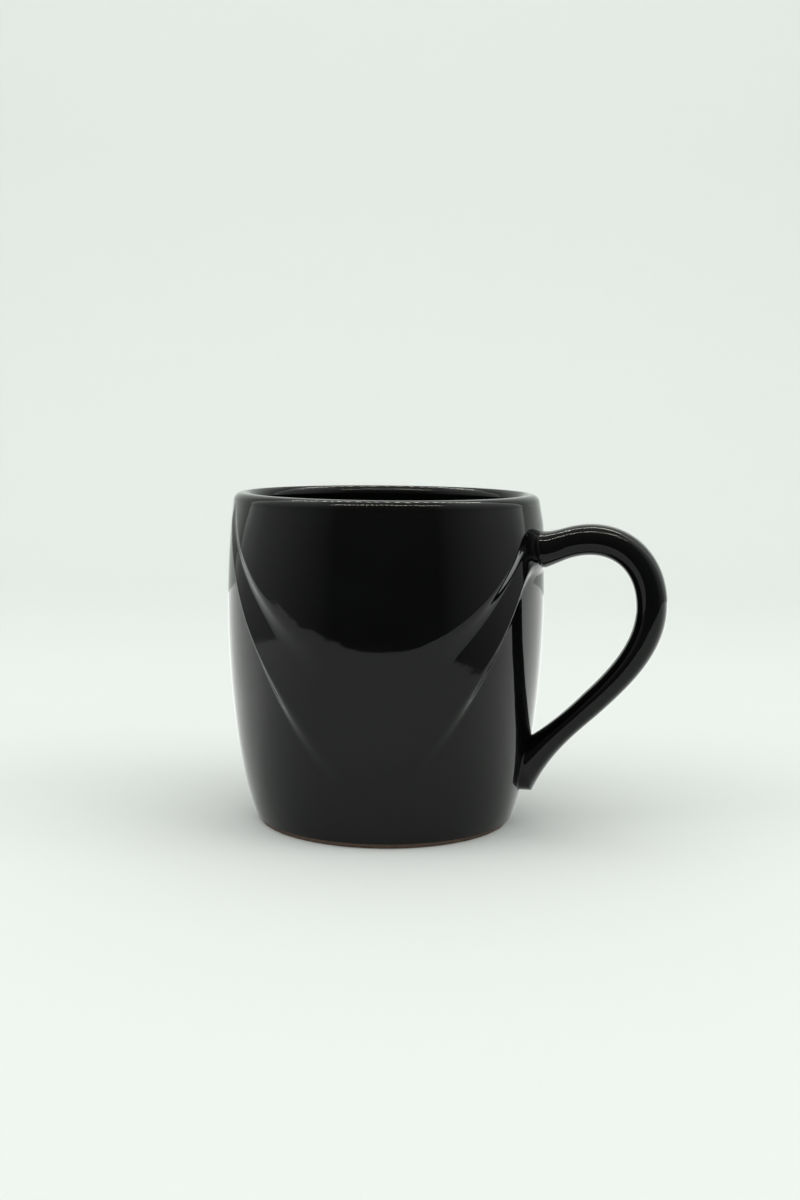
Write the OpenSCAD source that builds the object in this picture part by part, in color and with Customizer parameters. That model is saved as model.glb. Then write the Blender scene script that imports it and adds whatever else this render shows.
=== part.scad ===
// Glazed ceramic mug with two draped folds moulded into each side.
// Millimetres, +Z up. The origin is the centre of the foot on the table,
// and the handle stands out along +X.

/* [Cup] */
// Height from the table to the top of the lip
cup_h = 97.8; // [85:0.1:118]
// Outer radius that the glazed wall would have at the table
foot_r = 37.8; // [31.5:0.1:42]
// Largest outer radius of the cup, below the folds
belly_r = 47; // [43:0.1:57]
// Height of the largest radius
belly_z = 66; // [55:0.5:75]
// Outer radius where the lip's round edge begins
mouth_r = 45.3; // [40:0.1:54]
// Thickness of the lip, glaze included
lip_t = 5.3; // [4.4:0.1:6.5]
// Thickness of the clay in the floor
floor_t = 5.5; // [4.5:0.1:7]
// Thickness of the clay wall where it meets the floor
wall_t = 4.4; // [3.6:0.1:5.4]
// Radius of the corner between the floor and the wall inside
inner_corner_r = 14; // [8:0.5:18]

/* [Foot] */
// Width of the ring that the mug stands on
foot_ring_w = 4.2; // [3:0.1:5.5]
// Depth of the hollow under the base
recess_h = 2.4; // [1.6:0.1:3]
// Height of the bare clay above the table
bare_h = 1.5; // [1:0.1:2]

/* [Glaze] */
// Thickness of the glaze coat
glaze_t = 0.4; // [0.3:0.05:0.6]

/* [Folds] */
// Angle between the handle and the middle of the folds
fold_a = 82.5; // [75:0.5:90]
// Height of the upper fold's lowest point
upper_low_z = 50.2; // [42:0.1:58]
// Height of the lower fold's lowest point
lower_low_z = 18.4; // [15:0.1:22]
// Steepness of the upper fold's sides, in mm of height per degree
upper_rise = 1.22; // [1.02:0.01:1.46]
// Steepness of the lower fold's sides, in mm of height per degree
lower_rise = 1.41; // [1.18:0.01:1.69]
// Roundness of the bottom of the upper curve, in mm
upper_bend = 60; // [50:1:72]
// Roundness of the bottom of the lower curve, in mm
lower_bend = 35.5; // [29.5:0.5:42.5]
// How far each fold stands out at its lowest point
fold_low_t = 0.7; // [0.4:0.05:1.1]
// How far the upper fold stands out at its sides
upper_side_t = 1.3; // [0.8:0.05:1.7]
// How far the lower fold stands out at its sides
lower_side_t = 1.8; // [1:0.05:2.2]
// Width of the upper crease at its sides
upper_side_w = 4; // [3.3:0.1:4.8]
// Width of the lower crease at its sides
lower_side_w = 2.2; // [1.8:0.1:2.7]
// Width of the upper crease at its lowest point
upper_low_w = 12; // [10:0.1:14.4]
// Width of the lower crease at its lowest point
lower_low_w = 9.5; // [7.9:0.1:11.4]

/* [Handle] */
// Height of the middle of the upper root
root_top_z = 82.2; // [76:0.1:86]
// Height of the middle of the lower root
root_low_z = 17.95; // [14.5:0.05:22]
// How far the loop's centre line stands out past the belly
handle_reach = 31.6; // [26:0.1:38]
// Height at which the loop stands out furthest
handle_out_z = 66; // [58:0.5:70]
// Run of the loop's first stretch, from the wall to its highest point
handle_top_run = 13.4; // [10:0.1:16]
// Rise of the loop's first stretch
handle_top_rise = 3.2; // [2:0.1:5]
// Thickness of the glazed handle in its upper half
handle_top_t = 9; // [7.5:0.1:10.8]
// Thickness of the glazed handle in its lower half
handle_low_t = 7.45; // [6.2:0.05:9]
// Width of the glazed handle, across the thickness
handle_w = 12; // [10:0.1:14.4]
// Height of the upper root where it meets the wall
root_top_h = 10.6; // [9:0.1:12.5]
// Height of the lower root where it meets the wall
root_low_h = 15; // [12.5:0.1:18]
// Width of both roots where they meet the wall
root_w = 15.4; // [12.8:0.1:18.5]
// Thickness of the clay slip that joins each root to the wall
slip_t = 1.2; // [0.8:0.1:2]

/* [Hidden] */
$fn = 96;

clay_colour = [0.42, 0.31, 0.24];
slip_colour = [0.50, 0.38, 0.30];
glaze_colour = [0.03, 0.035, 0.033];
inner_colour = [0.06, 0.065, 0.063];

// Facets: columns around the cup, rows in each band of height, sides of the handle
cup_cols = 60;
root_cols = 4;
rows_low = 8;
rows_crease = 3;
rows_between = 4;
rows_top = 6;
rows_lip = 5;
top_row_h = 1;
least_row_h = 1.5;
handle_sides = 20;
handle_steps = 12;

lip_r = lip_t / 2;
lip_z = cup_h - lip_r;
crest_r = mouth_r - lip_r;
clay_lip_r = lip_r - glaze_t;
clay_h = lip_z + clay_lip_r;
// Flat land left on the crest of the clay lip, inside its middle
lip_land = 0.9;
inner_arc_z = clay_h - sqrt(clay_lip_r * clay_lip_r - lip_land * lip_land);
floor_z = recess_h + floor_t;
corner_z = floor_z + inner_corner_r;
recess_r = foot_r - glaze_t - foot_ring_w;
// How far a tool solid runs past the surface that it cuts
past = 3;

// ---------------------------------------------------------------- helpers
function clamp01(t) = min(1, max(0, t));
function soft(t) = let (c = clamp01(t)) c * c * (3 - 2 * c);
function mix(a, b, t) = a + (b - a) * t;

// Point at t on a cubic curve, and its direction there
function curve_at(c, t) =
    let (s = 1 - t)
    s * s * s * c[0] + 3 * s * s * t * c[1] + 3 * s * t * t * c[2] + t * t * t * c[3];
function curve_dir(c, t) =
    let (s = 1 - t)
    s * s * (c[1] - c[0]) + 2 * s * t * (c[2] - c[1]) + t * t * (c[3] - c[2]);

// Faces that join rings of n points into a skin. closed joins the last ring to the
// first, otherwise both ends are capped.
function skin_faces(rings, n, closed) =
    let (last = closed ? rings - 1 : rings - 2)
    concat(
        [for (k = [0 : last], i = [0 : n - 1], half = [0, 1])
            let (a = k * n + i, b = k * n + (i + 1) % n,
                 c = ((k + 1) % rings) * n + i, d = ((k + 1) % rings) * n + (i + 1) % n)
            half == 0 ? [a, c, b] : [b, c, d]],
        closed ? [] : [[for (i = [0 : n - 1]) i],
                       [for (i = [n - 1 : -1 : 0]) (rings - 1) * n + i]]);

// ---------------------------------------------------------------- cup surface
// Outer radius of the glazed cup at height z, without its folds
function outline_r(z) =
    z < belly_z
        ? foot_r + (belly_r - foot_r) * pow(1 - pow(1 - z / belly_z, 2), 0.75)
        : belly_r - (belly_r - mouth_r) * pow((z - belly_z) / (lip_z - belly_z), 2);

// Each fold: lowest height, steepness, roundness, relief at its sides and at its lowest
// point, width of its crease at its sides and at its lowest point
upper = [upper_low_z, upper_rise, upper_bend, upper_side_t, fold_low_t, upper_side_w, upper_low_w];
lower = [lower_low_z, lower_rise, lower_bend, lower_side_t, fold_low_t, lower_side_w, lower_low_w];
// Turns between which the creases level off towards the handle
meet_t0 = 56;
meet_t1 = 68;
// Turns over which the relief and the width change from the lowest point to the sides
relief_turn = 45;
width_turn = 50;
// Height above a crease that its full relief needs
fold_room_h = 16;
least_room = 0.1;

// Angle from the middle of the nearer pair of folds; both sides of the cup have one
function fold_turn(a) =
    let (m = abs(((a + 540) % 360) - 180), t = abs(m - fold_a),
         over = min(meet_t1 - meet_t0, max(0, t - meet_t0)))
    m < fold_a ? min(t, meet_t1) - over * over / (2 * (meet_t1 - meet_t0)) : t;

// Height of a fold's crease at turn t from the fold's middle
function crease_z(t, f) = f[0] + sqrt(f[2] * f[2] + f[1] * f[1] * t * t) - f[2];

// Height of a crease from its lower to its upper edge, which grows as it steepens
function crease_h(t, f) =
    let (w = mix(f[6], f[5], soft(t / width_turn)),
         lean = f[1] * f[1] * t / sqrt(f[2] * f[2] + f[1] * f[1] * t * t) * 180 / (PI * belly_r))
    w * sqrt(1 + lean * lean);

// How far one fold stands out at turn t and height z: nothing below its crease, most
// just above it, and nothing from end_z up
function fold_out(t, z, f, end_z) =
    let (mid_z = crease_z(t, f), room = max(end_z - mid_z, least_room))
    mix(f[4], f[3], soft(t / relief_turn))
    * soft(0.5 + (z - mid_z) / crease_h(t, f))
    * (1 - clamp01((z - mid_z) / room))
    * soft((end_z - mid_z) / fold_room_h);
function folds(a, z) =
    let (t = fold_turn(a))
    fold_out(t, z, upper, lip_z) + fold_out(t, z, lower, min(crease_z(t, upper), lip_z));

// Heights of the rows in the column at angle a: they follow the two creases
function spread(z0, z1, n) = [for (i = [0 : n - 1]) mix(z0, z1, i / n)];
function column_z(a, z0) =
    let (t = fold_turn(a),
         hl = crease_h(t, lower) / 2, hu = crease_h(t, upper) / 2,
         top = lip_z - top_row_h,
         l0 = min(crease_z(t, lower) - hl, top - 6 * least_row_h),
         l1 = min(crease_z(t, lower) + hl, top - 4.5 * least_row_h),
         u0 = max(l1 + least_row_h, min(crease_z(t, upper) - hu, top - 3 * least_row_h)),
         u1 = max(u0 + least_row_h, min(crease_z(t, upper) + hu, top - least_row_h)))
    concat(spread(z0, l0, rows_low), spread(l0, l1, rows_crease),
           spread(l1, u0, rows_between), spread(u0, u1, rows_crease),
           spread(u1, lip_z, rows_top));

// Point of the cup's surface, set in by the given depth: 0 for the glaze, glaze_t for clay
function cup_point(a, z, depth) =
    let (r = outline_r(z) + folds(a, z) - depth)
    [r * cos(a), r * sin(a), z];
function lip_point(a, turn, depth) =
    let (r = crest_r + (lip_r - depth) * cos(turn))
    [r * cos(a), r * sin(a), lip_z + (lip_r - depth) * sin(turn)];

// One column of points from height z0 up to the crest of the lip
function column(a, z0, depth) =
    concat([for (z = column_z(a, z0)) cup_point(a, z, depth)],
           [for (k = [0 : rows_lip]) lip_point(a, 90 * k / rows_lip, depth)]);
function turned(columns) =
    [for (k = [0 : len(columns[0]) - 1]) [for (c = columns) c[k]]];
function flat(rings) = [for (r = rings, p = r) p];

// Solid cup without its hollow: the skin at one depth, capped flat at both ends
module cup_block(depth) {
    columns = [for (j = [0 : cup_cols - 1]) column(360 * j / cup_cols, 0, depth)];
    rings = turned(columns);
    polyhedron(flat(rings), skin_faces(len(rings), cup_cols, false));
}

// The part of the cup's block behind the handle's roots, with the same facets
module root_block(depth) {
    inner = belly_r / 2;
    angles = [for (j = [-root_cols : root_cols]) 360 * j / cup_cols];
    n = 2 * len(angles);
    rows = turned([for (a = angles) column(a, 0, depth)]);
    rings = [for (row = rows)
        concat(row, [for (k = [len(row) - 1 : -1 : 0])
            let (a = angles[k]) [inner * cos(a), inner * sin(a), row[k][2]]])];
    polyhedron(flat(rings), skin_faces(len(rings), n, false));
}

// ---------------------------------------------------------------- cup inside
// Radius of the hollow in the clay at height z: the wall keeps about one thickness
function hollow_r(z) =
    outline_r(z) - glaze_t
    - mix(wall_t, 2 * clay_lip_r, clamp01((z - corner_z) / (inner_arc_z - corner_z)));

// Half outline of the hollow up to height top, set in from the clay by depth
module hollow_outline(depth, top) {
    arc_r = clay_lip_r + depth;
    corner = inner_corner_r - depth;
    corner_x = hollow_r(corner_z) - inner_corner_r;
    arc_end = 180 - asin((clay_h + depth - inner_arc_z) / arc_r);
    wall_steps = 12;
    arc_steps = 8;
    polygon(concat(
        [[0, floor_z + depth]],
        [for (t = [-90 : 7.5 : -7.5]) [corner_x + corner * cos(t), corner_z + corner * sin(t)]],
        [for (z = spread(corner_z, inner_arc_z, wall_steps)) [hollow_r(z) - depth, z]],
        [for (k = [0 : arc_steps]) let (t = mix(180, arc_end, k / arc_steps))
            [crest_r + arc_r * cos(t), inner_arc_z + arc_r * sin(t)]],
        [[crest_r + arc_r * cos(arc_end), top], [0, top]]));
}

// ---------------------------------------------------------------- handle
// Radius of the clay wall behind the handle, where the folds keep one height
function clay_wall(z) = outline_r(z) + folds(0, z) - glaze_t;
root_top = [clay_wall(root_top_z) + slip_t, root_top_z];
root_low = [clay_wall(root_low_z) + slip_t, root_low_z];
loop_top = root_top + [handle_top_run, handle_top_rise];
loop_out = [belly_r + handle_reach, handle_out_z];
top_drop = loop_top[1] - loop_out[1];
low_drop = loop_out[1] - root_low[1];
loop_w = loop_out[0] - loop_top[0];

// The centre line is three curves: out of the wall, round the top, and back to the foot
loop = [
    [root_top, root_top + [0.25 * handle_top_run, 0.25 * handle_top_rise],
     loop_top - [0.45 * handle_top_run, 0], loop_top],
    [loop_top, loop_top + [0.56 * loop_w, 0], loop_out + [0, 0.62 * top_drop], loop_out],
    [loop_out, loop_out - [0, 0.4 * low_drop],
     root_low + [0.3 * (loop_out[0] - root_low[0]), 0.32 * low_drop], root_low]];

// Lean of the wall behind a root
function wall_lean(z) = atan2(outline_r(z - 1) - outline_r(z + 1), 2);
// Share of the last curve, and of the first, over which a root opens out
low_flare = 0.42;
top_flare = 0.5;

// How sharply a root turns, thickens and widens; larger is later
low_turn_pow = 0.42;
low_thick_pow = 2.8;
low_wide_pow = 2.4;
top_pow = 1.5;
// Stations over which the thickness changes from the upper half to the lower
thin_s0 = 1.9;
thin_s = 0.7;
// Roundness of the handle's section: 2 is an ellipse, larger is squarer
section_pow = 2.6;

// Station at s from 0 to 3 along the loop: centre, angle, half thickness, half width,
// all of them of the glazed handle
function station(s) =
    let (k = min(2, floor(s)), t = s - k, d = curve_dir(loop[k], t),
         square = atan2(d[1], d[0]) + 90,
         low = clamp01((s - 3 + low_flare) / low_flare),
         top = clamp01(1 - s / top_flare),
         low_a = -90 - wall_lean(root_low_z), top_a = 90 + wall_lean(root_top_z),
         a = mix(mix(square, low_a, pow(low, low_turn_pow)), top_a, top),
         mid_t = mix(handle_top_t, handle_low_t, soft((s - thin_s0) / thin_s)))
    [curve_at(loop[k], t), a,
     mix(mix(mid_t, root_low_h, pow(low, low_thick_pow)), root_top_h, pow(top, top_pow)) / 2,
     mix(handle_w, root_w, max(pow(low, low_wide_pow), pow(top, top_pow))) / 2];

// Ring of points around a station, set in by depth and moved inwards by sink
function bulged(c) = sign(c) * pow(abs(c), 2 / section_pow);
function ring(st, depth, sink) =
    [for (i = [0 : handle_sides - 1])
        let (f = 360 * i / handle_sides,
             u = (st[2] - depth) * bulged(cos(f)), v = -(st[3] - depth) * bulged(sin(f)))
        [st[0][0] + u * cos(st[1]) - sink, v, st[0][1] + u * sin(st[1])]];

loop_steps = 3 * handle_steps;
function loop_rings(depth) =
    [for (i = [0 : loop_steps]) ring(station(3 * i / loop_steps), depth, 0)];
sunk = slip_t + past;

// The clay loop with both ends carried on into the wall
module loop_block() {
    rings = concat([ring(station(0), glaze_t, sunk)], loop_rings(glaze_t),
                   [ring(station(3), glaze_t, sunk)]);
    polyhedron(flat(rings), skin_faces(len(rings), handle_sides, false));
}

// The half of space's height that holds one root: the upper one, or else the lower
module root_half(upper_root) {
    mid_z = (root_top_z + root_low_z) / 2;
    translate([-cup_h, -cup_h, upper_root ? mid_z : mid_z - 2 * cup_h]) cube(2 * cup_h);
}

// ---------------------------------------------------------------- sub-parts
module clay_cup() {
    color(clay_colour)
    difference() {
        cup_block(glaze_t);
        rotate_extrude() hollow_outline(0, cup_h + past);
        translate([0, 0, -past]) cylinder(r = recess_r, h = recess_h + past);
    }
}

module clay_handle() {
    color(clay_colour)
    difference() {
        loop_block();
        root_block(glaze_t - slip_t);
    }
}

// Layer of slip that follows the wall between it and one end of the handle
module slip_joint(upper_root) {
    color(slip_colour)
    difference() {
        intersection() {
            loop_block();
            root_block(glaze_t - slip_t);
            root_half(upper_root);
        }
        root_block(glaze_t);
    }
}

module outside_glaze() {
    color(glaze_colour)
    difference() {
        glaze_shell();
        loop_block();
    }
}

// Coat between the clay and the outer surface, from the bare foot to the crest
module glaze_shell() {
    angles = [for (j = [0 : cup_cols - 1]) 360 * j / cup_cols];
    outer = turned([for (a = angles) column(a, bare_h, 0)]);
    inner = turned([for (a = angles) column(a, bare_h, glaze_t)]);
    land = [for (depth = [0, glaze_t])
        [for (a = angles)
            [(crest_r - lip_land) * cos(a), (crest_r - lip_land) * sin(a), cup_h - depth]]];
    rings = concat(outer, land, [for (k = [len(inner) - 1 : -1 : 0]) inner[k]]);
    polyhedron(flat(rings), skin_faces(len(rings), cup_cols, true));
}

module inside_glaze() {
    color(inner_colour)
    rotate_extrude()
    difference() {
        hollow_outline(0, cup_h);
        hollow_outline(glaze_t, cup_h + past);
    }
}

module base_glaze() {
    color(inner_colour)
    translate([0, 0, recess_h])
    difference() {
        translate([0, 0, -bare_h / 2]) cylinder(r = recess_r, h = bare_h / 2);
        translate([0, 0, -past]) cylinder(r = recess_r - glaze_t, h = past - glaze_t);
    }
}

module handle_glaze() {
    sink = [for (depth = [0, glaze_t], s = [0, 3]) ring(station(s), depth, sunk)];
    outer = concat([sink[0]], loop_rings(0), [sink[1]]);
    inner = concat([sink[2]], loop_rings(glaze_t), [sink[3]]);
    rings = concat(outer, [for (k = [len(inner) - 1 : -1 : 0]) inner[k]]);
    color(glaze_colour)
    difference() {
        polyhedron(flat(rings), skin_faces(len(rings), handle_sides, true));
        root_block(0);
    }
}

clay_cup();
clay_handle();
slip_joint(true);  // upper_slip_joint
slip_joint(false);  // lower_slip_joint
outside_glaze();
inside_glaze();
base_glaze();
handle_glaze();
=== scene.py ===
"""Glossy black glazed mug on a pale floor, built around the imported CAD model.

The scene is in metres, in the CAD's own frame: +Z up, the foot's centre at the origin
and the handle along +X. The mug's sizes are written in millimetres, and skin() makes
them metres. The stage's sizes are written in metres.
"""
import math

import bmesh
import bpy
import numpy as np
from mathutils import Matrix, Vector

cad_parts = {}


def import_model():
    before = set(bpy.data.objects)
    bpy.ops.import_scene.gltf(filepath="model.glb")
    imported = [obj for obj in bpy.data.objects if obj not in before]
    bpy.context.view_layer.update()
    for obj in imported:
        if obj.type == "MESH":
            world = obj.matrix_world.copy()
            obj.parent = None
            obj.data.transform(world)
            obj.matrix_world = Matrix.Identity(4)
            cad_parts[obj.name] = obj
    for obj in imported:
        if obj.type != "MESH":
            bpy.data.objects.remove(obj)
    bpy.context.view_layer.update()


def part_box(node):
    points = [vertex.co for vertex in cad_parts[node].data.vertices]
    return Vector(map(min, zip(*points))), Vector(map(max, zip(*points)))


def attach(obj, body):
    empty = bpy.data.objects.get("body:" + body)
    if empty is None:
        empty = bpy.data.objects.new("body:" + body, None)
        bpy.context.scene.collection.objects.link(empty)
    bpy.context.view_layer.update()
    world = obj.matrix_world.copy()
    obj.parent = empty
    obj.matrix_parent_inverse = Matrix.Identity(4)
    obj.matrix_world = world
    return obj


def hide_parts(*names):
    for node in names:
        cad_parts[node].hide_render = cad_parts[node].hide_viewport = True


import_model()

MM = 0.001

# ------------------------------------------------------------------ sizes of the cup
# Heights and radii outside the glaze, as in the CAD's own driving dimensions.
CUP_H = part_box("outside_glaze")[1].z / MM
FOOT_R = 37.8
BELLY_R = 47.0
BELLY_Z = 66.0
BELLY_POW = 0.75
MOUTH_R = 45.3
LIP_T = 5.3
LIP_LAND = 0.9
FLOOR_T = 5.5
WALL_T = 4.4
INNER_CORNER_R = 14.0
FOOT_RING_W = 4.2
FOOT_IN_BEVEL = 0.3
FOOT_OUT_BEVEL = 0.1
RECESS_H = 2.4
BARE_H = 1.5
GLAZE_T = 0.4
BASE_COAT_CORNER_R = 0.9

LIP_R = LIP_T / 2
LIP_Z = CUP_H - LIP_R
CREST_R = MOUTH_R - LIP_R
CLAY_LIP_R = LIP_R - GLAZE_T
CLAY_H = LIP_Z + CLAY_LIP_R
FLOOR_Z = RECESS_H + FLOOR_T
CORNER_Z = FLOOR_Z + INNER_CORNER_R
RECESS_R = FOOT_R - GLAZE_T - FOOT_RING_W
INNER_ARC_Z = CLAY_H - math.sqrt(CLAY_LIP_R**2 - LIP_LAND**2)

# ------------------------------------------------------------------ sizes of the folds
# Angles in degrees. FOLD_A is the middle of the folds, counted from the handle. All other
# angles are counted from that middle. On the handle's side the folds stop climbing
# between the two MEET angles. The creases' width and relief go from their values at
# the bottom to those at the sides by the WIDTH and RELIEF angles. A fold grows shallow
# where it has less than ROOM_H mm up to what it ends at.
FOLD_A = 82.5
FOLD_MEET_T0 = 56.0
FOLD_MEET_T1 = 68.0
FOLD_ROOM_H = 16.0
FOLD_LEAST_ROOM = 0.1
FOLD_WIDTH_T = 50.0
FOLD_RELIEF_T = 45.0
# Lowest height, mm risen per degree, how wide the bottom bends, relief at the sides and
# at the bottom, width of the crease at the sides and at the bottom.
UPPER = dict(low_z=50.2, rise=1.22, bend=60.0, side_t=1.3, low_t=0.7, side_w=4.0, low_w=12.0)
LOWER = dict(low_z=18.4, rise=1.41, bend=35.5, side_t=1.8, low_t=0.7, side_w=2.2, low_w=9.5)

# ------------------------------------------------------------------ sizes of the handle
# Outside the glaze. Places are on the centre line of the loop.
ROOT_TOP_Z = 82.2
ROOT_LOW_Z = 17.95
HANDLE_REACH = 31.6
HANDLE_OUT_Z = 66.0
HANDLE_TOP_RUN = 13.4
HANDLE_TOP_RISE = 3.2
HANDLE_TOP_T = 9.0
HANDLE_LOW_T = 7.45
HANDLE_W = 12.0
HANDLE_SQUARE = 2.6
ROOT_TOP_H = 10.6
ROOT_LOW_H = 15.0
ROOT_W = 15.4
SLIP_T = 1.2
FILLET_TOP_R = 0.35
FILLET_LOW_R = 0.7

# How far each span's bend points stand from its ends, as shares of the span.
ROOT_TOP_PULL = 0.25
LOOP_TOP_PULL_IN = 0.45
LOOP_TOP_PULL_OUT = 0.56
LOOP_OUT_PULL_UP = 0.62
LOOP_OUT_PULL_DOWN = 0.4
ROOT_LOW_PULL_X = 0.3
ROOT_LOW_PULL_Z = 0.32

# Lengths along the loop, in spans: how far each root's flare reaches, and where the
# loop begins to thin and over how much. The powers say how fast a flare sets in.
LOW_FLARE = 0.42
LOW_TURN_POW = 0.42
LOW_HIGH_POW = 2.8
LOW_WIDE_POW = 2.4
TOP_FLARE = 0.5
TOP_POW = 1.5
THIN_FROM = 1.9
THIN_SPAN = 0.7

# ------------------------------------------------------------------ mesh density
COLS = 480
# Rows up the cup: below the lower crease, across it, between the creases, across the
# upper crease, above it. Then the rows over the lip.
FINE, FINE_LIP = (48, 16, 24, 16, 36), 20
COARSE, COARSE_LIP = (10, 4, 6, 4, 8), 6
# Under the lip the rows keep these distances in mm, where the creases run out of room.
ROW_UNDER_LIP = 1.0
ROW_BAND = 3.0
ROW_LEAST = 1.5
HOLLOW_FLOOR, HOLLOW_CORNER, HOLLOW_WALL, HOLLOW_LIP = 8, 14, 30, 12
HANDLE_SIDES = 72
HANDLE_RINGS = 220
HANDLE_INNER_RINGS = 73
HANDLE_CLAY_RINGS = 90
FILLET_RINGS = 9
SHARP_ANGLE = 50
SAME_POINT = 1e-8


# ------------------------------------------------------------------ helpers
def clamp01(t):
    return np.minimum(1.0, np.maximum(0.0, t))


def soft(t):
    c = clamp01(t)
    return c * c * (3 - 2 * c)


def mix(a, b, t):
    return a + (b - a) * t


def add_object(name, data):
    obj = bpy.data.objects.new(name, data)
    bpy.context.scene.collection.objects.link(obj)
    return obj


def skin(name, rings, wrap_rows=False):
    """A mesh through rings of points (rows, columns, xyz) in mm; columns always wrap."""
    rings = np.asarray(rings, float) * MM
    rows, cols = rings.shape[:2]
    last = rows if wrap_rows else rows - 1
    faces = []
    for k in range(last):
        a, b = k * cols, ((k + 1) % rows) * cols
        for i in range(cols):
            j = (i + 1) % cols
            faces.append((a + i, a + j, b + j, b + i))
    mesh = bpy.data.meshes.new(name)
    mesh.from_pydata(rings.reshape(-1, 3).tolist(), [], faces)
    bm = bmesh.new()
    bm.from_mesh(mesh)
    bmesh.ops.remove_doubles(bm, verts=bm.verts, dist=SAME_POINT)
    bmesh.ops.recalc_face_normals(bm, faces=bm.faces)
    for f in bm.faces:
        f.smooth = True
    bm.to_mesh(mesh)
    bm.free()
    mesh.set_sharp_from_angle(angle=math.radians(SHARP_ANGLE))
    return add_object(name, mesh)


def turned(outline):
    """One ring of points about the Z axis for each (radius, height) of an outline."""
    angles = np.linspace(0, 2 * np.pi, COLS, endpoint=False)
    return [
        np.array([(r * math.cos(t), r * math.sin(t), z) for t in angles]) for r, z in outline
    ]


def arc(cx, cz, r, a0, a1, n):
    t = np.radians(np.linspace(a0, a1, n))
    return [(cx + r * math.cos(x), cz + r * math.sin(x)) for x in t]


# ------------------------------------------------------------------ cup surface
def outline_r(z):
    """Radius of the plain glazed cup, without its folds, at a height."""
    z = np.asarray(z, float)
    low = FOOT_R + (BELLY_R - FOOT_R) * (1 - clamp01(1 - z / BELLY_Z) ** 2) ** BELLY_POW
    high = BELLY_R - (BELLY_R - MOUTH_R) * ((z - BELLY_Z) / (LIP_Z - BELLY_Z)) ** 2
    return np.where(z < BELLY_Z, low, high)


def fold_turn(a):
    """Angle from the middle of the nearer pair of folds, held near the handle's roots."""
    m = np.abs((a + 540) % 360 - 180)
    t = np.abs(m - FOLD_A)
    span = FOLD_MEET_T1 - FOLD_MEET_T0
    over = np.clip(t - FOLD_MEET_T0, 0, span)
    held = np.minimum(t, FOLD_MEET_T1) - over**2 / (2 * span)
    return np.where(m < FOLD_A, held, t)


def crease_z(t, fold):
    bend = fold["bend"]
    return fold["low_z"] + np.sqrt(bend**2 + (fold["rise"] * t) ** 2) - bend


def crease_h(t, fold):
    """A crease's height, from its width square to its own line."""
    w = mix(fold["low_w"], fold["side_w"], soft(t / FOLD_WIDTH_T))
    rise = fold["rise"]
    lean = rise**2 * t / np.sqrt(fold["bend"] ** 2 + (rise * t) ** 2) * 180 / (np.pi * BELLY_R)
    return w * np.sqrt(1 + lean**2)


def fold_out(t, z, fold, end_z):
    """How far one fold stands out: nothing under its crease, most at it, nothing at end_z."""
    mid_z = crease_z(t, fold)
    room = np.maximum(end_z - mid_z, FOLD_LEAST_ROOM)
    return (
        mix(fold["low_t"], fold["side_t"], soft(t / FOLD_RELIEF_T))
        * soft(0.5 + (z - mid_z) / crease_h(t, fold))
        * (1 - clamp01((z - mid_z) / room))
        * soft((end_z - mid_z) / FOLD_ROOM_H)
    )


def folds(a, z):
    t = fold_turn(a)
    upper = fold_out(t, z, UPPER, LIP_Z)
    return upper + fold_out(t, z, LOWER, np.minimum(crease_z(t, UPPER), LIP_Z))


def column_z(a, z0, counts):
    """Heights of the rows at angle a (degrees): they follow the two creases."""
    t = fold_turn(a)
    half_lower, half_upper = crease_h(t, LOWER) / 2, crease_h(t, UPPER) / 2
    lower, upper = crease_z(t, LOWER), crease_z(t, UPPER)
    top = LIP_Z - ROW_UNDER_LIP
    lower_from = min(lower - half_lower, top - 4 * ROW_BAND)
    lower_to = min(lower + half_lower, top - 3 * ROW_BAND)
    upper_from = max(lower_to + ROW_LEAST, min(upper - half_upper, top - 2 * ROW_BAND))
    upper_to = max(upper_from + ROW_LEAST, min(upper + half_upper, top - ROW_BAND))
    stops = [z0, lower_from, lower_to, upper_from, upper_to, LIP_Z]
    out = []
    for n, (low, high) in zip(counts, zip(stops, stops[1:])):
        out += list(np.linspace(low, high, n, endpoint=False))
    return np.array(out)


def cup_rings(z0, depth, counts, lip_rows):
    """The cup's skin from height z0 to the lip's crest, as rows of rings."""
    columns = []
    for a in np.linspace(0, 360, COLS, endpoint=False):
        z = column_z(a, z0, counts)
        r = outline_r(z) + folds(a, z) - depth
        f = np.radians(np.linspace(0, 90, lip_rows + 1))
        r = np.concatenate([r, CREST_R + (LIP_R - depth) * np.cos(f)])
        z = np.concatenate([z, LIP_Z + (LIP_R - depth) * np.sin(f)])
        c, s = math.cos(math.radians(a)), math.sin(math.radians(a))
        columns.append(np.stack([r * c, r * s, z], -1))
    return np.array(columns).transpose(1, 0, 2)


def hollow_r(z):
    """Inner radius of the clay wall, thinner towards the lip."""
    t = clamp01((z - CORNER_Z) / (INNER_ARC_Z - CORNER_Z))
    return outline_r(z) - GLAZE_T - mix(WALL_T, 2 * CLAY_LIP_R, t)


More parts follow.
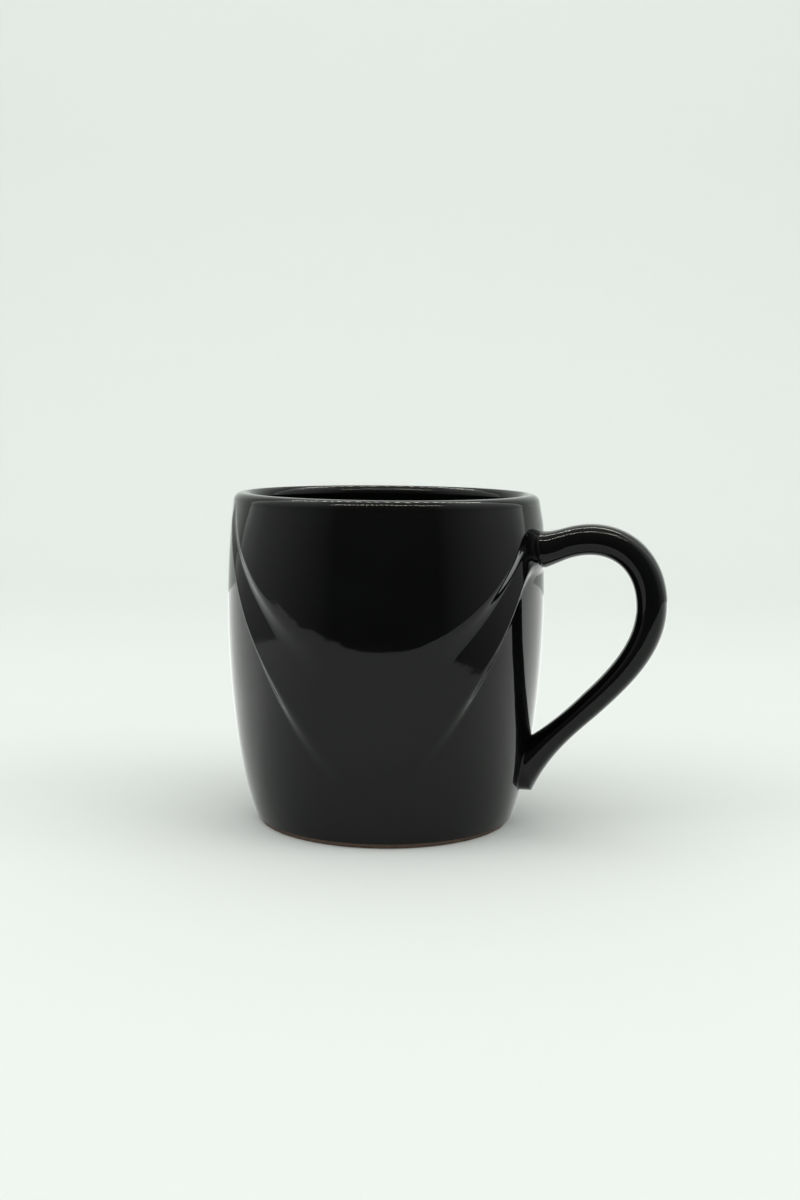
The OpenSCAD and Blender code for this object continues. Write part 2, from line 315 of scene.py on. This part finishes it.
def hollow_outline(depth, fine=1):
    """The hollow from the floor's centre up to the crest, set in from the clay."""
    lip_r = CLAY_LIP_R + depth
    corner_x = float(hollow_r(CORNER_Z)) - INNER_CORNER_R
    lip_end = 180 - math.degrees(math.asin((CLAY_H + depth - INNER_ARC_Z) / lip_r))
    floor_r = np.linspace(0, corner_x, HOLLOW_FLOOR * fine, endpoint=False)
    wall_z = np.linspace(CORNER_Z, INNER_ARC_Z, HOLLOW_WALL * fine, endpoint=False)
    bottom = [(r, FLOOR_Z + depth) for r in floor_r]
    corner = arc(corner_x, CORNER_Z, INNER_CORNER_R - depth, -90, 0, HOLLOW_CORNER * fine)[:-1]
    wall = [(float(hollow_r(z)) - depth, z) for z in wall_z]
    lip = arc(CREST_R, INNER_ARC_Z, lip_r, 180, lip_end, HOLLOW_LIP * fine)
    return bottom + corner + wall + lip


# ------------------------------------------------------------------ handle
def curve_at(c, t):
    s = 1 - t
    return s**3 * c[0] + 3 * s * s * t * c[1] + 3 * s * t * t * c[2] + t**3 * c[3]


def curve_dir(c, t):
    s = 1 - t
    return s * s * (c[1] - c[0]) + 2 * s * t * (c[2] - c[1]) + t * t * (c[3] - c[2])


def pair(x, z):
    return np.array([float(x), float(z)])


def handle_wall(z):
    """Radius of the glazed wall behind the handle, where the folds keep one height."""
    return outline_r(z) + folds(0.0, z)


def loop_spans():
    """The loop's centre line: three curves, each from four points (x, z)."""
    root_top = pair(handle_wall(ROOT_TOP_Z) - GLAZE_T + SLIP_T, ROOT_TOP_Z)
    root_low = pair(handle_wall(ROOT_LOW_Z) - GLAZE_T + SLIP_T, ROOT_LOW_Z)
    top = root_top + pair(HANDLE_TOP_RUN, HANDLE_TOP_RISE)
    out = pair(BELLY_R + HANDLE_REACH, HANDLE_OUT_Z)
    run = out[0] - top[0]
    top_drop = top[1] - out[1]
    low_run, low_drop = out - root_low
    return [
        [root_top,
         root_top + pair(ROOT_TOP_PULL * HANDLE_TOP_RUN, ROOT_TOP_PULL * HANDLE_TOP_RISE),
         top - pair(LOOP_TOP_PULL_IN * HANDLE_TOP_RUN, 0),
         top],
        [top,
         top + pair(LOOP_TOP_PULL_OUT * run, 0),
         out + pair(0, LOOP_OUT_PULL_UP * top_drop),
         out],
        [out,
         out - pair(0, LOOP_OUT_PULL_DOWN * low_drop),
         root_low + pair(ROOT_LOW_PULL_X * low_run, ROOT_LOW_PULL_Z * low_drop),
         root_low],
    ]


LOOP = loop_spans()
LOOP_END = len(LOOP)


def wall_lean(z):
    """Degrees that the plain wall leans from upright at a height."""
    return math.degrees(math.atan2(float(outline_r(z - 1) - outline_r(z + 1)), 2))


def station(s):
    """Centre, angle, half thickness and half width at s spans along the loop."""
    k = min(LOOP_END - 1, int(s))
    t = s - k
    d = curve_dir(LOOP[k], t)
    square = math.degrees(math.atan2(d[1], d[0])) + 90
    low = float(clamp01((s - LOOP_END + LOW_FLARE) / LOW_FLARE))
    top = float(clamp01(1 - s / TOP_FLARE))
    a = mix(square, -90 - wall_lean(ROOT_LOW_Z), low**LOW_TURN_POW)
    a = mix(a, 90 + wall_lean(ROOT_TOP_Z), top)
    thick = mix(HANDLE_TOP_T, HANDLE_LOW_T, float(soft((s - THIN_FROM) / THIN_SPAN)))
    thick = mix(mix(thick, ROOT_LOW_H, low**LOW_HIGH_POW), ROOT_TOP_H, top**TOP_POW)
    wide = mix(HANDLE_W, ROOT_W, max(low**LOW_WIDE_POW, top**TOP_POW))
    return curve_at(LOOP[k], t), math.radians(a), thick / 2, wide / 2


def ring(s, grow):
    """The loop's rounded-square section at s, grown or shrunk all round."""
    c, a, u, v = station(s)
    f = np.linspace(0, 2 * np.pi, HANDLE_SIDES, endpoint=False)
    u = (u + grow) * np.sign(np.cos(f)) * np.abs(np.cos(f)) ** (2 / HANDLE_SQUARE)
    v = -(v + grow) * np.sign(np.sin(f)) * np.abs(np.sin(f)) ** (2 / HANDLE_SQUARE)
    return np.stack([c[0] + u * math.cos(a), v, c[1] + u * math.sin(a)], -1)


def on_wall(points, depth, out):
    """The points moved along X onto the cup's skin at a depth, and then out from it."""
    p = points.copy()
    r = handle_wall(p[:, 2]) - depth + out
    p[:, 0] = np.sqrt(np.maximum(r**2 - p[:, 1] ** 2, 0))
    return p


def root_ring(s, grow, depth):
    return [on_wall(ring(s, grow), depth, 0)]


def fillet_rings(s, fillet):
    """Rings from a root's first station down onto the wall, opening into a fillet."""
    return [
        on_wall(ring(s, fillet * (1 - math.cos(f))), 0, fillet * (1 - math.sin(f)))
        for f in np.radians(np.linspace(0, 90, FILLET_RINGS))
    ]


def loop_rings(grow, n):
    return [ring(s, grow) for s in np.linspace(0, LOOP_END, n + 1)]


# ------------------------------------------------------------------ pieces
def capped(name, rings):
    """A tube of rings with both ends closed to their centres."""
    ends = []
    for r in (rings[0], rings[-1]):
        mid = np.mean(r, 0)
        ends.append([mix(mid, r, k) for k in (0.0, 0.5)])
    return skin(name, ends[0] + rings + ends[1][::-1])


def outside_coat():
    outer = cup_rings(BARE_H, 0, FINE, FINE_LIP)
    inner = cup_rings(BARE_H, GLAZE_T, COARSE, COARSE_LIP)
    land = []
    for z in (CUP_H, CLAY_H):
        edge = outer[-1].copy()
        edge[:, :2] *= (CREST_R - LIP_LAND) / CREST_R
        edge[:, 2] = z
        land.append(edge)
    return skin("outside_coat", list(outer) + land + list(inner[::-1]), wrap_rows=True)


def inside_coat():
    return skin("inside_coat", turned(hollow_outline(GLAZE_T, 2) + hollow_outline(0)[::-1]))


def base_coat():
    z0 = RECESS_H - BARE_H / 2
    z1 = RECESS_H - GLAZE_T
    corner = BASE_COAT_CORNER_R
    corner_x = RECESS_R - GLAZE_T - corner
    under = [(r, z1) for r in np.linspace(0, corner_x, 12)]
    under += arc(corner_x, z1 - corner, corner, 90, 30, 6)
    top = [(RECESS_R, z0), (RECESS_R, RECESS_H), (0, RECESS_H)]
    return skin("base_coat", turned(under + top))


def handle_coat():
    top = fillet_rings(0, FILLET_TOP_R)[::-1]
    low = fillet_rings(LOOP_END, FILLET_LOW_R)
    outer = top + loop_rings(0, HANDLE_RINGS) + low
    inner = (
        root_ring(0, -GLAZE_T, 0)
        + loop_rings(-GLAZE_T, HANDLE_INNER_RINGS)
        + root_ring(LOOP_END, -GLAZE_T, 0)
    )
    return skin("handle_coat", outer + inner[::-1], wrap_rows=True)


def cup_clay():
    foot = [
        (0, RECESS_H), (RECESS_R, RECESS_H), (RECESS_R, FOOT_IN_BEVEL),
        (RECESS_R + FOOT_IN_BEVEL, 0), (FOOT_R - GLAZE_T - FOOT_OUT_BEVEL, 0),
    ]
    wall = cup_rings(0.0, GLAZE_T, COARSE, COARSE_LIP)
    return skin("cup_clay", turned(foot) + list(wall) + turned(hollow_outline(0)[::-1]))


def handle_clay():
    return capped("handle_clay", loop_rings(-GLAZE_T, HANDLE_CLAY_RINGS))


def slip_joint(name, s):
    """The slip between the wall's clay and the handle's end at s."""
    rings = root_ring(s, -GLAZE_T, GLAZE_T) + [ring(s, -GLAZE_T)]
    return capped(name, rings if s == 0 else rings[::-1])


# Each piece, the CAD node it stands in for and its material slot.
pieces = [
    (outside_coat(), "outside_glaze", "black_glaze"),
    (inside_coat(), "inside_glaze", "inside_glaze"),
    (base_coat(), "base_glaze", "base_glaze"),
    (handle_coat(), "handle_glaze", "black_glaze"),
    (cup_clay(), "clay_cup", "bare_clay"),
    (handle_clay(), "clay_handle", "bare_clay"),
    (slip_joint("upper_joint", 0), "upper_slip_joint", "slip"),
    (slip_joint("lower_joint", LOOP_END), "lower_slip_joint", "slip"),
]


# ------------------------------------------------------------------ shader nodes
def new_material(name):
    m = bpy.data.materials.new(name)
    m.use_nodes = True
    tree = m.node_tree
    return m, tree, tree.nodes["Principled BSDF"]


def texture_place(tree, output="Object"):
    return tree.nodes.new("ShaderNodeTexCoord").outputs[output]


def noise(tree, coords, scale, detail, rough=0.5):
    n = tree.nodes.new("ShaderNodeTexNoise")
    n.inputs["Scale"].default_value = scale
    n.inputs["Detail"].default_value = detail
    n.inputs["Roughness"].default_value = rough
    tree.links.new(coords, n.inputs["Vector"])
    return n.outputs["Fac"]


def ramp(tree, fac, stops):
    n = tree.nodes.new("ShaderNodeValToRGB")
    el = n.color_ramp.elements
    while len(el) < len(stops):
        el.new(0.5)
    for e, (place, colour) in zip(el, stops):
        e.position = place
        e.color = (*colour, 1.0)
    tree.links.new(fac, n.inputs["Fac"])
    return n.outputs["Color"]


def bump(tree, height, strength, distance, normal=None):
    n = tree.nodes.new("ShaderNodeBump")
    n.inputs["Strength"].default_value = strength
    n.inputs["Distance"].default_value = distance
    tree.links.new(height, n.inputs["Height"])
    if normal is not None:
        tree.links.new(normal, n.inputs["Normal"])
    return n.outputs["Normal"]


def map_range(tree, value, **limits):
    n = tree.nodes.new("ShaderNodeMapRange")
    for limit, number in limits.items():
        n.inputs[limit.replace("_", " ").title()].default_value = number
    tree.links.new(value, n.inputs["Value"])
    return n.outputs["Result"]


def calc(tree, operation, *values, clamp=False):
    """A math node over numbers and other nodes' outputs."""
    n = tree.nodes.new("ShaderNodeMath")
    n.operation = operation
    n.use_clamp = clamp
    for i, value in enumerate(values):
        if isinstance(value, (int, float)):
            n.inputs[i].default_value = value
        else:
            tree.links.new(value, n.inputs[i])
    return n.outputs[0]


def blend(tree, share, yes, no):
    """The value yes where share is 1, and no where it is 0."""
    return calc(tree, "ADD", calc(tree, "MULTIPLY", share, yes),
                calc(tree, "MULTIPLY", calc(tree, "SUBTRACT", 1, share), no))


def level_by_turn(tree, xyz, levels):
    """Grey levels by degrees round from straight in front, the same on both sides."""
    turned_by = calc(tree, "ARCTAN2", xyz.outputs["X"],
                     calc(tree, "MULTIPLY", xyz.outputs["Y"], -1))
    half_turns = calc(tree, "DIVIDE", calc(tree, "ABSOLUTE", turned_by), math.pi)
    return ramp(tree, half_turns, [(degrees / 180, (v, v, v)) for degrees, v in levels])


# ------------------------------------------------------------------ materials
def glaze(name, rough_low, rough_high):
    """Near-black gloss glaze: a little greener and lighter in patches, faintly rippled."""
    m, tree, b = new_material(name)
    pos = texture_place(tree)
    dark, light = (0.0014, 0.0017, 0.0015), (0.0026, 0.0031, 0.0028)
    patches = noise(tree, pos, scale=45, detail=3)
    tree.links.new(ramp(tree, patches, [(0.3, dark), (0.75, light)]), b.inputs["Base Color"])
    sheen = noise(tree, pos, scale=160, detail=2)
    tree.links.new(
        map_range(tree, sheen, to_min=rough_low, to_max=rough_high), b.inputs["Roughness"])
    b.inputs["IOR"].default_value = 1.34
    ripple = bump(tree, noise(tree, pos, scale=105, detail=1), strength=0.17, distance=0.0004)
    fine = bump(tree, noise(tree, pos, scale=900, detail=2), strength=0.05, distance=0.00005,
                normal=ripple)
    tree.links.new(fine, b.inputs["Normal"])
    return m


def clay(name, dark, light):
    """Bare fired stoneware: fine grain, iron specks, dry and matt."""
    m, tree, b = new_material(name)
    pos = texture_place(tree)
    tone = ramp(tree, noise(tree, pos, scale=260, detail=4, rough=0.6), [(0.3, dark), (0.7, light)])
    specks = ramp(tree, noise(tree, pos, scale=1900, detail=2),
                  [(0.66, (0, 0, 0)), (0.72, (1, 1, 1))])
    n = tree.nodes.new("ShaderNodeMix")
    n.data_type = "RGBA"
    tree.links.new(specks, n.inputs["Factor"])
    tree.links.new(tone, n.inputs["A"])
    n.inputs["B"].default_value = (0.05, 0.03, 0.02, 1)
    tree.links.new(n.outputs["Result"], b.inputs["Base Color"])
    b.inputs["Roughness"].default_value = 0.85
    grain = bump(tree, noise(tree, pos, scale=2400, detail=3), strength=0.5, distance=0.00012)
    tree.links.new(grain, b.inputs["Normal"])
    return m


slots = {
    "black_glaze": glaze("black_glaze", 0.02, 0.06),
    "inside_glaze": glaze("inside_glaze", 0.03, 0.08),
    "base_glaze": glaze("base_glaze", 0.08, 0.2),
    "bare_clay": clay("bare_clay", (0.07, 0.045, 0.033), (0.13, 0.085, 0.06)),
    "slip": clay("slip", (0.20, 0.13, 0.09), (0.32, 0.22, 0.15)),
}
for piece, node, slot in pieces:
    piece.data.materials.append(slots[slot])
    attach(piece, "root")
    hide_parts(node)

# ------------------------------------------------------------------ stage
# The stage is turned about Z as a whole, because the camera stands this far round from
# straight across the handle.
VIEW_TURN = math.radians(12)
turn = Matrix.Rotation(VIEW_TURN, 4, "Z")

TABLE_FRONT, TABLE_BACK, TABLE_HALF_W = -0.36, 0.55, 1.6
SWEEP_R, SWEEP_TOP = 0.35, 1.6
FLOOR_COLOUR = (0.80, 0.82, 0.80)

# The surroundings' brightness as the camera sees it, and as it lights matt surfaces.
BACKDROP = 0.83
AMBIENT = 0.66
ROOM_COLOUR = (0.96, 1.0, 0.965)
# The room as it is reflected: grey walls by degrees from the front, brighter upwards, and
# a plain ceiling from a height on the unit sphere.
WALLS = ((36, 0.08), (44, 0.18), (60, 0.34), (78, 0.5), (100, 0.6), (112, 0.8), (128, 2.0))
WALL_RISE = 1.4
WALL_LOWEST = -0.15
WALL_MOST = 2.2
CEILING = 0.5
CEILING_FROM, CEILING_BLEND = 0.86, 0.06

# Name, place, side and watts of each square soft light. All are aimed at the origin.
LIGHTS = (
    ("overhead", (0, 0, 1.1), 1.4, 4),
    ("left_light", (-0.9, -0.3, 0.7), 0.8, 3.2),
    ("right_light", (0.9, -0.3, 0.7), 0.8, 3.2),
)

# The glow off the table: levels by degrees from the front, and its growth with distance.
GLOW = ((40, 0.0), (53, 0.05), (72, 0.22), (82, 0.36), (96, 0.65))
GLOW_NEAR, GLOW_FAR = 0.06, 0.165
GLOW_LEAST = 0.45
GLOW_HALF_W = 1.2
GLOW_Z = 0.0004

LAMP_ROWS = (-0.195, 0.195)
LAMP_Z = 0.5
LAMP_GAP = 0.02
LAMP_COUNT = 27
LAMP_SIZE = 0.009
LAMP_LEVEL = 150.0
LAMP_COLOUR = (1.0, 0.97, 0.88)

CAMERA_AT = (2.83 * MM, -450.8 * MM, 121.9 * MM)
CAMERA_PITCH, CAMERA_YAW, CAMERA_ROLL = 7.116, 0.171, 0.582
CAMERA_LENS = 45.5
CAMERA_SENSOR_H = 36


def reflected_only(obj):
    obj.visible_camera = obj.visible_diffuse = obj.visible_shadow = False


def floor():
    """A pale table with a sweep rising behind it; its front edge is below the picture."""
    line = [(TABLE_FRONT, 0), (TABLE_BACK, 0)]
    line += [(TABLE_BACK + SWEEP_R * math.sin(t), SWEEP_R * (1 - math.cos(t)))
             for t in np.radians(np.linspace(9, 90, 10))]
    line += [(TABLE_BACK + SWEEP_R, SWEEP_TOP)]
    mesh = bpy.data.meshes.new("floor")
    verts = [(x, y, z) for y, z in line for x in (-TABLE_HALF_W, TABLE_HALF_W)]
    faces = [(2 * k, 2 * k + 1, 2 * k + 3, 2 * k + 2) for k in range(len(line) - 1)]
    mesh.from_pydata(verts, [], faces)
    mesh.transform(turn)
    for p in mesh.polygons:
        p.use_smooth = True
    m, _, b = new_material("pale_floor")
    b.inputs["Base Color"].default_value = (*FLOOR_COLOUR, 1)
    b.inputs["Roughness"].default_value = 1.0
    b.inputs["Specular IOR Level"].default_value = 0.0
    mesh.materials.append(m)
    obj = add_object("floor", mesh)


def world():
    """Soft pale surroundings. Reflections see a grey room with a dark doorway in front."""
    w = bpy.data.worlds.new("room")
    bpy.context.scene.world = w
    w.use_nodes = True
    tree = w.node_tree
    spin = tree.nodes.new("ShaderNodeVectorRotate")
    spin.rotation_type = "Z_AXIS"
    spin.inputs["Angle"].default_value = -VIEW_TURN
    tree.links.new(texture_place(tree, "Generated"), spin.inputs["Vector"])
    xyz = tree.nodes.new("ShaderNodeSeparateXYZ")
    tree.links.new(spin.outputs["Vector"], xyz.inputs["Vector"])
    height = xyz.outputs["Z"]

    walls = level_by_turn(tree, xyz, WALLS)
    rise = calc(tree, "MULTIPLY", calc(tree, "MAXIMUM", height, WALL_LOWEST), WALL_RISE)
    walls = calc(tree, "MULTIPLY", walls, calc(tree, "ADD", 1, rise))
    walls = calc(tree, "MINIMUM", walls, WALL_MOST)
    over = calc(tree, "SUBTRACT", height, CEILING_FROM)
    up = calc(tree, "DIVIDE", over, CEILING_BLEND, clamp=True)
    reflected = blend(tree, up, CEILING, walls)

    path = tree.nodes.new("ShaderNodeLightPath")
    direct = blend(tree, path.outputs["Is Camera Ray"], BACKDROP, AMBIENT)
    level = blend(tree, path.outputs["Is Glossy Ray"], reflected, direct)
    back = tree.nodes["Background"]
    back.inputs["Color"].default_value = (*ROOM_COLOUR, 1)
    tree.links.new(level, back.inputs["Strength"])


def area_light(name, place, side, power):
    """A square soft light that lights the scene but is not itself reflected."""
    data = bpy.data.lights.new(name, "AREA")
    data.shape = "RECTANGLE"
    data.size = data.size_y = side
    data.energy = power
    obj = add_object(name, data)
    obj.location = turn @ Vector(place)
    obj.rotation_euler = (-obj.location).to_track_quat("-Z", "Y").to_euler()
    obj.visible_glossy = False


def table_glow():
    """Extra light off the table on both sides of the mug, seen only in reflections."""
    mesh = bpy.data.meshes.new("table_glow")
    verts = [(x, y, GLOW_Z) for x in (-GLOW_HALF_W, GLOW_HALF_W) for y in (TABLE_FRONT, TABLE_BACK)]
    mesh.from_pydata(verts, [], [(0, 2, 3, 1)])
    m = bpy.data.materials.new("table_glow")
    m.use_nodes = True
    tree = m.node_tree
    tree.nodes.clear()
    place = texture_place(tree)
    xyz = tree.nodes.new("ShaderNodeSeparateXYZ")
    tree.links.new(place, xyz.inputs["Vector"])
    reach = tree.nodes.new("ShaderNodeVectorMath")
    reach.operation = "LENGTH"
    tree.links.new(place, reach.inputs[0])
    growth = map_range(tree, reach.outputs["Value"],
                       from_min=GLOW_NEAR, from_max=GLOW_FAR, to_min=GLOW_LEAST, to_max=1.0)
    glow = tree.nodes.new("ShaderNodeEmission")
    tree.links.new(level_by_turn(tree, xyz, GLOW), glow.inputs["Color"])
    tree.links.new(growth, glow.inputs["Strength"])
    clear = tree.nodes.new("ShaderNodeBsdfTransparent")
    both = tree.nodes.new("ShaderNodeAddShader")
    tree.links.new(glow.outputs[0], both.inputs[0])
    tree.links.new(clear.outputs[0], both.inputs[1])
    out = tree.nodes.new("ShaderNodeOutputMaterial")
    tree.links.new(both.outputs[0], out.inputs["Surface"])
    mesh.materials.append(m)
    obj = add_object("table_glow", mesh)
    obj.matrix_world = turn
    reflected_only(obj)


def lamp_rows():
    """Two rows of small lamps over the table, seen only in reflections."""
    verts, faces = [], []
    half = LAMP_SIZE / 2
    for y in LAMP_ROWS:
        for k in range(LAMP_COUNT):
            x = (k - (LAMP_COUNT - 1) / 2) * LAMP_GAP
            n = len(verts)
            verts += [(x - half, y - half, LAMP_Z), (x - half, y + half, LAMP_Z),
                      (x + half, y + half, LAMP_Z), (x + half, y - half, LAMP_Z)]
            faces.append((n, n + 1, n + 2, n + 3))
    mesh = bpy.data.meshes.new("lamp_rows")
    mesh.from_pydata(verts, [], faces)
    mesh.transform(turn)
    m, _, b = new_material("lamps")
    b.inputs["Base Color"].default_value = (0, 0, 0, 1)
    b.inputs["Emission Color"].default_value = (*LAMP_COLOUR, 1)
    b.inputs["Emission Strength"].default_value = LAMP_LEVEL
    mesh.materials.append(m)
    obj = add_object("lamp_rows", mesh)
    reflected_only(obj)


def camera():
    """The photograph's viewpoint: just above the rim, a short telephoto, slightly rolled."""
    pitch, yaw, roll = (math.radians(a) for a in (CAMERA_PITCH, CAMERA_YAW, CAMERA_ROLL))
    level = math.cos(pitch)
    ahead = Vector((math.sin(yaw) * level, math.cos(yaw) * level, -math.sin(pitch)))
    right = ahead.cross(Vector((0, 0, 1))).normalized()
    up = right.cross(ahead)
    rolled_up = up * math.cos(roll) - right * math.sin(roll)
    rolled_right = right * math.cos(roll) + up * math.sin(roll)
    axes = Matrix((rolled_right, rolled_up, -ahead)).transposed().to_4x4()
    data = bpy.data.cameras.new("camera")
    data.sensor_fit = "VERTICAL"
    data.sensor_height = CAMERA_SENSOR_H
    data.lens = CAMERA_LENS
    data.clip_start = 0.01
    obj = add_object("camera", data)
    obj.matrix_world = Matrix.Translation(turn @ Vector(CAMERA_AT)) @ turn @ axes
    bpy.context.scene.camera = obj


floor()
world()
for light in LIGHTS:
    area_light(*light)
table_glow()
lamp_rows()
camera()
bpy.context.scene.view_settings.view_transform = "Standard"
